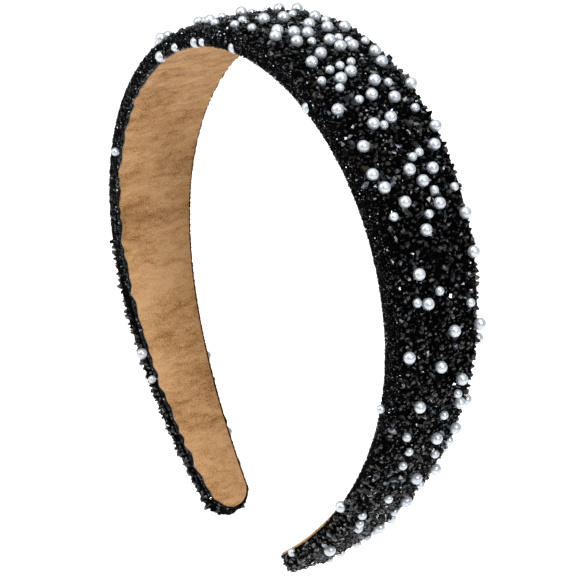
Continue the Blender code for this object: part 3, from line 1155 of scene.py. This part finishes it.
def turned(along: Array, normal: Array, spin: Array, tilt: Array, lean: Array) -> Array:
    """Rotation matrices for chips on a surface.

    Args:
        along: The direction along the band at each chip.
        normal: The surface's normal at each chip.
        spin: Turns about the normal.
        tilt: How far each chip leans.
        lean: The direction each chip leans in.

    Returns:
        One matrix for each chip, whose columns are its own axes.
    """
    sideways = np.cross(normal, along)
    u = along * np.cos(lean)[:, None] + sideways * np.sin(lean)[:, None]
    v = np.cross(normal, u)
    up = normal * np.cos(tilt)[:, None] + u * np.sin(tilt)[:, None]
    flat = u * np.cos(tilt)[:, None] - normal * np.sin(tilt)[:, None]
    first = flat * np.cos(spin)[:, None] + v * np.sin(spin)[:, None]
    return np.stack([first, np.cross(up, first), up], axis=-1)


@dataclass(frozen=True)
class Grade:
    """One grade of crushed glass, laid in jittered rows.

    Its heights are in widths, its clearance is in a pearl's radii, and its shares are the finishes'.
    """

    name: str
    pitch: float
    end_gap: float
    widths: Pair
    heights: Pair
    clearance: float
    shares: tuple[float, ...]


CHIPS = Grade(
    name="crystal_chips",
    pitch=1.18 * MM,
    end_gap=0.9 * MM,
    widths=(1.25 * MM, 2.1 * MM),
    heights=(0.42, 0.8),
    clearance=0.82,
    shares=(0.40, 0.34, 0.13, 0.04, 0.083, 0.007),
)
GRAINS = Grade(
    name="crystal_grains",
    pitch=0.45 * MM,
    end_gap=0.3 * MM,
    widths=(0.38 * MM, 0.7 * MM),
    heights=(0.8, 1.3),
    clearance=0.9,
    shares=(0.42, 0.33, 0.05, 0.01, 0.175, 0.015),
)


@dataclass
class CrushedCrystal(BandHalf):
    """The chips over the outer face, and the fine grains along the rims and round the lining."""

    skin: Skin | None = None
    front_band: float = 1.2 * MM
    band_waves: float = 0.4 * MM
    wave_lengths: Pair = (5 * MM, 14 * MM)
    wall_drop: float = 9 * MM
    lower_start: float = 0.55  # as a share of the half hoop
    lower_spread: float = 0.2
    chip_foot: float = 0.6 * MM
    shoulder_run: float = 0.6 * MM
    shoulder_lift: float = 0.22 * MM
    grain_foot: float = 0.55 * MM
    band_overlap: float = 0.5 * MM
    rim_overlap: float = 0.2 * MM
    border_inset: float = 0.1 * MM
    front_border: float = 0.3 * MM
    back_border: float = 0.35 * MM
    tip_wall: float = 3.6 * MM
    jitter: float = 0.45  # as a share of the pitch
    size_mix: tuple[float, ...] = (1.0, 0.72, 1.18)
    size_odds: tuple[float, ...] = (0.6, 0.25, 0.15)
    long_odds: float = 0.16
    long_stretch: Pair = (1.35, 1.9)
    usual_stretch: Pair = (0.85, 1.2)
    usual_tilt: float = math.radians(28)
    most_tilt: float = math.radians(40)
    wall_calm: float = 0.6  # how much less chips lean on the walls
    lift: float = 0.12 * MM
    unevenness: float = 0.12  # in a chip's widths
    box_margin: float = 0.7 * MM
    cuts: int = 14
    seed: int = 41

    def rows(self, grade: Grade) -> Array:
        """The lengths along the hoop of a grade's rows."""
        return np.arange(grade.pitch / 2, self.hoop.length - grade.end_gap, grade.pitch)

    def stray(self, rng: Draws, count: int, grade: Grade) -> Array:
        """How far each of a row's places strays from it."""
        return rng.uniform(-self.jitter, self.jitter, count) * grade.pitch

    def fill_rows(self, rng: Draws, grade: Grade, reach: Array) -> tuple[Array, Array]:
        """Jittered rows of places over the skin, as far as the reach on both sides: runs and arcs."""
        runs, arcs = [], []
        for station, half in zip(self.rows(grade), reach):
            count = max(int(round(2 * half / grade.pitch)), 1)
            arc = (np.arange(count) + 0.5) / count * 2 * half - half
            arcs.append(arc + self.stray(rng, count, grade))
            runs.append(station + self.stray(rng, count, grade))
        return np.concatenate(runs), np.concatenate(arcs)

    def lower(self, run: Array) -> Array:
        """How far a place belongs to the lower leg, where chips also cover the walls, from 0 to 1."""
        return np.clip((run / self.hoop.length - self.lower_start) / self.lower_spread, 0, 1)

    def band_edge(self, run: Array) -> Array:
        """The arc where the fine grains of the front band give way to chips."""
        _, flat, corner, _ = self.skin.parts(run)
        rng = np.random.default_rng(self.seed)
        waves = ripple(rng, run * self.side.value, 0 * run, self.wave_lengths, 0.0, 6)
        width = self.front_band + self.band_waves * waves
        return -(flat + corner) + width * (1 - self.lower(run)) - self.wall_drop * self.lower(run)

    def chips(self, rng: Draws, pearls: list[Pearl]) -> list[Array]:
        """The seats of the chips on the outer face, clear of the pearls."""
        stations = self.rows(CHIPS)
        _, flat, corner, _ = self.skin.parts(stations)
        top = flat + corner * 0.9
        wall = np.maximum(self.skin.reach(stations) - top - self.chip_foot, 0)
        run, arc = self.fill_rows(rng, CHIPS, top + wall * self.lower(stations))
        _, flat, corner, _ = self.skin.parts(run)
        keep = arc > self.band_edge(run)
        run, arc, flat = run[keep], arc[keep], flat[keep]
        point, along, normal = self.skin.seats(self.side, run, arc)
        over_shoulder = np.clip((np.abs(arc) - flat + self.shoulder_run) / self.shoulder_run, 0, 1)
        point = point + normal * (over_shoulder * self.shoulder_lift)[:, None]
        return self.clear_of(pearls, CHIPS, point, along, normal)

    def grains(self, rng: Draws, pearls: list[Pearl], lining: Lining) -> list[Array]:
        """The seats of the grains: the front band, the rims, the tip's wall and the lining's borders."""
        run, arc = self.fill_rows(rng, GRAINS, self.skin.reach(self.rows(GRAINS)))
        run, arc = self.add_tip(rng, run, arc)
        _, flat, corner, _ = self.skin.parts(run)
        _, height, _, _ = self.skin.section(run, arc)
        in_band = arc < self.band_edge(run) + self.band_overlap
        on_back_rim = arc > flat + corner - self.rim_overlap
        keep = (in_band | on_back_rim) & (height > self.grain_foot)
        seats = self.skin.seats(self.side, run[keep], arc[keep])
        border = self.border(rng, lining)
        return self.clear_of(pearls, GRAINS, *(np.concatenate(pair) for pair in zip(seats, border)))

    def border(self, rng: Draws, lining: Lining) -> tuple[Array, Array, Array]:
        """Seats on the hem between the lining's edges and the rims, facing the head."""
        stations = self.rows(GRAINS)
        runs, acrosses = [], []
        half, gap = self.hoop.outline(stations, self.border_inset), lining.gap(stations)
        back = lining.back_margin - self.back_border
        for station, reach, front in zip(stations, half, gap - self.front_border):
            for sign, width in ((-1, front), (1, back)):
                steps = np.arange(0, max(width, 0) + 0.01 * MM, GRAINS.pitch * 0.8)
                runs.append(station + self.stray(rng, len(steps), GRAINS))
                acrosses.append(sign * np.maximum(reach - steps, 0))
        run, across = np.concatenate(runs), np.concatenate(acrosses)
        along, _, outwards = self.hoop.axes(self.side, run)
        return self.hoop.place(self.side, run, across, np.full_like(run, self.grain_foot)), along, -outwards

    def add_tip(self, rng: Draws, run: Array, arc: Array) -> tuple[Array, Array]:
        """More places on the wall round the tip, where rows along the hoop are thin."""
        radius = self.hoop.tip_half - self.skin.inset
        count = int(math.pi * radius * self.tip_wall / GRAINS.pitch**2)
        angle = rng.uniform(-math.pi / 2, math.pi / 2, count)
        tip_run = self.hoop.length - self.hoop.tip_half + radius * np.cos(angle)
        share = rng.uniform(0, 1, count)
        _, flat, corner, _ = self.skin.parts(tip_run)
        wall = self.skin.reach(tip_run) - flat - corner * 0.5
        tip_arc = np.sign(angle) * (flat + corner * 0.5 + wall * share)
        return np.concatenate([run, tip_run]), np.concatenate([arc, tip_arc])

    @staticmethod
    def clear_of(pearls: list[Pearl], grade: Grade, *seats: Array) -> list[Array]:
        """Leaves out the seats that a pearl covers."""
        keep = np.ones(len(seats[0]), bool)
        for pearl in pearls:
            keep &= np.linalg.norm(seats[0] - pearl.centre, axis=1) > pearl.radius * grade.clearance
        return [part[keep] for part in seats]

    def build(self, palette: Palette, pearls: list[Pearl], lining: Lining) -> None:
        """Makes the chips and the grains and fits them to the frame."""
        rng = np.random.default_rng(self.seed + self.side.value)
        chips = self.chips(rng, pearls)
        self.set_glass(CHIPS, rng, chips, [Cut.broken(rng) for _ in range(self.cuts)], palette)
        grains = self.grains(rng, pearls, lining)
        self.set_glass(GRAINS, rng, grains, [Cut.grain(rng) for _ in range(self.cuts)], palette)

    def set_glass(
        self, grade: Grade, rng: Draws, seats: list[Array], cuts: list[Cut], palette: Palette
    ) -> None:
        """Makes one piece of many chips.

        Args:
            grade: The grade of glass.
            rng: The random draws.
            seats: Points, directions along and normals.
            cuts: The shapes to choose from.
            palette: The materials.
        """
        point, along, normal = seats
        count = len(point)
        width = rng.uniform(*grade.widths, count) * rng.choice(self.size_mix, count, p=self.size_odds)
        is_long = rng.random(count) < self.long_odds
        stretches = rng.uniform(*self.long_stretch, count), rng.uniform(*self.usual_stretch, count)
        stretch = np.where(is_long, *stretches)
        height = width * rng.uniform(*grade.heights, count)
        scale = np.stack([width * np.sqrt(stretch), width / np.sqrt(stretch), height], axis=1)
        spin, lean = rng.uniform(0, 2 * math.pi, (2, count))
        steep = np.minimum(np.abs(rng.normal(0, self.usual_tilt, count)), self.most_tilt)
        tilt = steep * (1 - self.wall_calm * np.abs(normal[:, 1]))
        rotation = turned(along, normal, spin, tilt, lean)
        uneven = rng.uniform(-self.unevenness, self.unevenness, count) * width
        middle = point + normal * (self.lift + uneven)[:, None]
        finish = rng.choice(len(grade.shares), count, p=np.array(grade.shares) / sum(grade.shares))
        kind = rng.integers(len(cuts), size=count)
        points, faces, slots, used = [], [], [], 0
        limit = self.hoop.crown_half + self.box_margin
        for number, cut in enumerate(cuts):
            chosen = np.flatnonzero(kind == number)
            body = cut.points[None] * scale[chosen][:, None]
            world = np.einsum("nij,nkj->nki", rotation[chosen], body) + middle[chosen][:, None]
            world[..., 1] = np.clip(world[..., 1], -limit, limit)
            points.append(world.reshape(-1, 3))
            offsets = used + np.arange(len(chosen)) * len(cut.points)
            faces.append((cut.faces[None] + offsets[:, None, None]).reshape(-1, 3))
            slots.append(np.repeat(finish[chosen], len(cut.faces)))
            used += len(chosen) * len(cut.points)
        name = f"{grade.name}_{self.side.word}"
        piece = new_piece(name, np.concatenate(points), np.concatenate(faces).tolist(), smooth=False)
        for material in palette.glasses:
            piece.data.materials.append(material)
        piece.data.polygons.foreach_set("material_index", np.concatenate(slots).astype(np.int32))
        self.join_frame(piece, "crystal_bed", self.layer_nodes("crystal_bed"))
        log.info("%s: %d chips", piece.name, count)


# ---- The studio ----


@dataclass(frozen=True)
class SoftBox:
    """A square soft light that faces the headband."""

    name: str
    azimuth: float
    elevation: float
    distance: float
    size: float
    power: float

    def build(self, target: Vector) -> None:
        """Makes the light."""
        data = bpy.data.lights.new(self.name, "AREA")
        data.energy, data.size, data.shape = self.power, self.size, "SQUARE"
        light = bpy.data.objects.new(self.name, data)
        bpy.context.scene.collection.objects.link(light)
        away = heading(self.azimuth, self.elevation)
        light.location = target + away * self.distance
        light.rotation_euler = (-away).to_track_quat("-Z", "Y").to_euler()


def heading(azimuth: float, elevation: float) -> Vector:
    """The direction from the headband to something seen at these angles, in degrees."""
    a, e = math.radians(azimuth), math.radians(elevation)
    return Vector((math.sin(a) * math.cos(e), -math.cos(a) * math.cos(e), math.sin(e)))


@dataclass
class Studio:
    """The camera, the floor and the lights."""

    azimuth: float = 52.92
    elevation: float = 24.39
    roll: float = 3.63
    distance: float = 699.6 * MM
    lens: float = 159.0
    aim_right: float = 3.45 * MM
    aim_up: float = -2.70 * MM
    middle: Vector = field(default_factory=lambda: Vector((0, 0, -66.3 * MM)))
    floor_half: float = 4.0
    floor_gap: float = 30 * MM
    floor_tones: Pair = (0.88, 0.95)  # as it is, and as it is mirrored
    floor_glow: float = 0.55
    camera_side: Pair = (0.66, 0.93)  # cosines of the angle from the camera
    camera_side_light: Pair = (0.36, 0.02)
    panel_scale: float = 2.1
    panel_edges: Pair = (0.43, 0.6)
    panel_light: Pair = (0.04, 2.0)
    backdrop: float = 0.85
    boxes: tuple[SoftBox, ...] = (
        SoftBox("key_box", 84, 36, 0.9, 0.26, 5.5),
        SoftBox("top_box", 20, 80, 1.0, 0.8, 8.0),
        SoftBox("left_box", -25, 30, 1.1, 0.7, 5.5),
    )

    def build(self) -> None:
        """Makes the whole studio."""
        self.place_camera()
        for box in self.boxes:
            box.build(self.middle)
        self.lay_floor()
        self.light_room()

    def place_camera(self) -> None:
        """Places the camera, turned a little about its own axis."""
        back = heading(self.azimuth, self.elevation)
        right = Vector((math.cos(math.radians(self.azimuth)), math.sin(math.radians(self.azimuth)), 0))
        up = back.cross(right)
        turn = math.radians(self.roll)
        right_turned = right * math.cos(turn) + up * math.sin(turn)
        up_turned = up * math.cos(turn) - right * math.sin(turn)
        data = bpy.data.cameras.new("camera")
        data.lens, data.clip_start, data.clip_end = self.lens, 0.01, 50
        camera = bpy.data.objects.new("camera", data)
        bpy.context.scene.collection.objects.link(camera)
        aim = self.middle + right_turned * self.aim_right + up_turned * self.aim_up
        axes = Matrix((right_turned, up_turned, back)).transposed().to_4x4()
        camera.matrix_world = Matrix.Translation(aim + back * self.distance) @ axes
        bpy.context.scene.camera = camera

    def lay_floor(self) -> None:
        """Lays a plain white floor under the tips, low enough for their shadows to go soft."""
        low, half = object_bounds()[0].z - self.floor_gap, self.floor_half
        corners = [[x * half, y * half, low] for x, y in ((-1, -1), (1, -1), (1, 1), (-1, 1))]
        floor = new_piece("floor", np.array(corners), [[0, 1, 2, 3]])
        made = Finisher("floor_white")
        made.set_plain(Roughness=0.9, Specular_IOR_Level=0.1, Emission_Color=(1, 1, 1, 1))
        path = made.add("LightPath").outputs
        tone = made.spread(path["Is Glossy Ray"], UNIT, self.floor_tones)
        made.feed(made.shader, "Base Color", tone)
        glow = made.maths("MULTIPLY", path["Is Camera Ray"], self.floor_glow)
        made.feed(made.shader, "Emission Strength", glow)
        floor.data.materials.append(made.material)
        floor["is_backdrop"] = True

    def light_room(self) -> None:
        """Gives the room its soft white light, with darker stretches of wall and a dark camera side."""
        world = bpy.data.worlds.new("room")
        bpy.context.scene.world = world
        world.use_nodes = True
        nodes = NodeTree(world.node_tree)
        shader = world.node_tree.nodes["Background"]
        place = nodes.add("TexCoord").outputs["Generated"]
        towards = heading(self.azimuth, self.elevation)
        facing = nodes.maths("DOT_PRODUCT", place, towards, kind="VectorMath", output=1)
        near = nodes.spread(facing, self.camera_side, self.camera_side_light)
        walls = nodes.add("TexNoise", Vector=place, Scale=self.panel_scale, Detail=1.5).outputs["Fac"]
        panels = nodes.spread(walls, self.panel_edges, self.panel_light)
        soft = nodes.maths("MULTIPLY", near, panels)
        seen = nodes.add("LightPath").outputs["Is Camera Ray"]
        mixed = nodes.add("Mix", data_type="FLOAT", Factor=seen, A=soft, B=self.backdrop)
        nodes.feed(shader, "Strength", mixed.outputs["Result"])
        nodes.feed(shader, "Color", (0.95, 0.97, 1.0, 1))
        view = bpy.context.scene.view_settings
        view.view_transform = "Standard"
        view.look = "None"


# ---- The whole headband ----


def build_half(side: Side, hoop: Hoop, palette: Palette, names: list[str]) -> None:
    """Builds every layer of one half of the band.

    Args:
        side: The half.
        hoop: The curve and outline.
        palette: The finishes.
        names: The CAD nodes' names.
    """
    log.info("building the %s half", side.word)
    lining = Lining(hoop, side)
    HiddenLayers(hoop, side).build(palette)
    lining.build(palette)
    cloth = Wrap(hoop, side, name="base_cloth")
    cloth.declare_sheet(cloth.build(palette.cloth))
    glue = Wrap(
        hoop,
        side,
        name="glue_bed",
        layer="crystal_bed",
        inset=0.12 * MM,
        shoulder=4.6 * MM,
        swell=0.1 * MM,
        foot=0.75 * MM,
        hem=False,
        lumps=0.12 * MM,
    )
    glue.build(palette.glue)
    pearls = Pearls(hoop, side, skin=glue.skin())
    pearls.gather(names)
    pearls.build(palette)
    CrushedCrystal(hoop, side, skin=glue.skin()).build(palette, pearls.found, lining)


def main() -> None:
    """Builds the headband round the frame, and the studio round the headband."""
    logging.basicConfig(level=logging.INFO, format="%(name)s: %(message)s")
    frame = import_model()
    hoop = Hoop.from_frame()
    sizes = (hoop.length / MM, 2 * hoop.head_half / MM, hoop.head_height / MM)
    log.info("half hoop %.2f mm, head %.2f x %.2f mm", *sizes)
    palette = Palette()
    for side in Side:
        build_half(side, hoop, palette, list(frame["nodes"]))
    Studio().build()


if __name__ == "__main__":
    main()
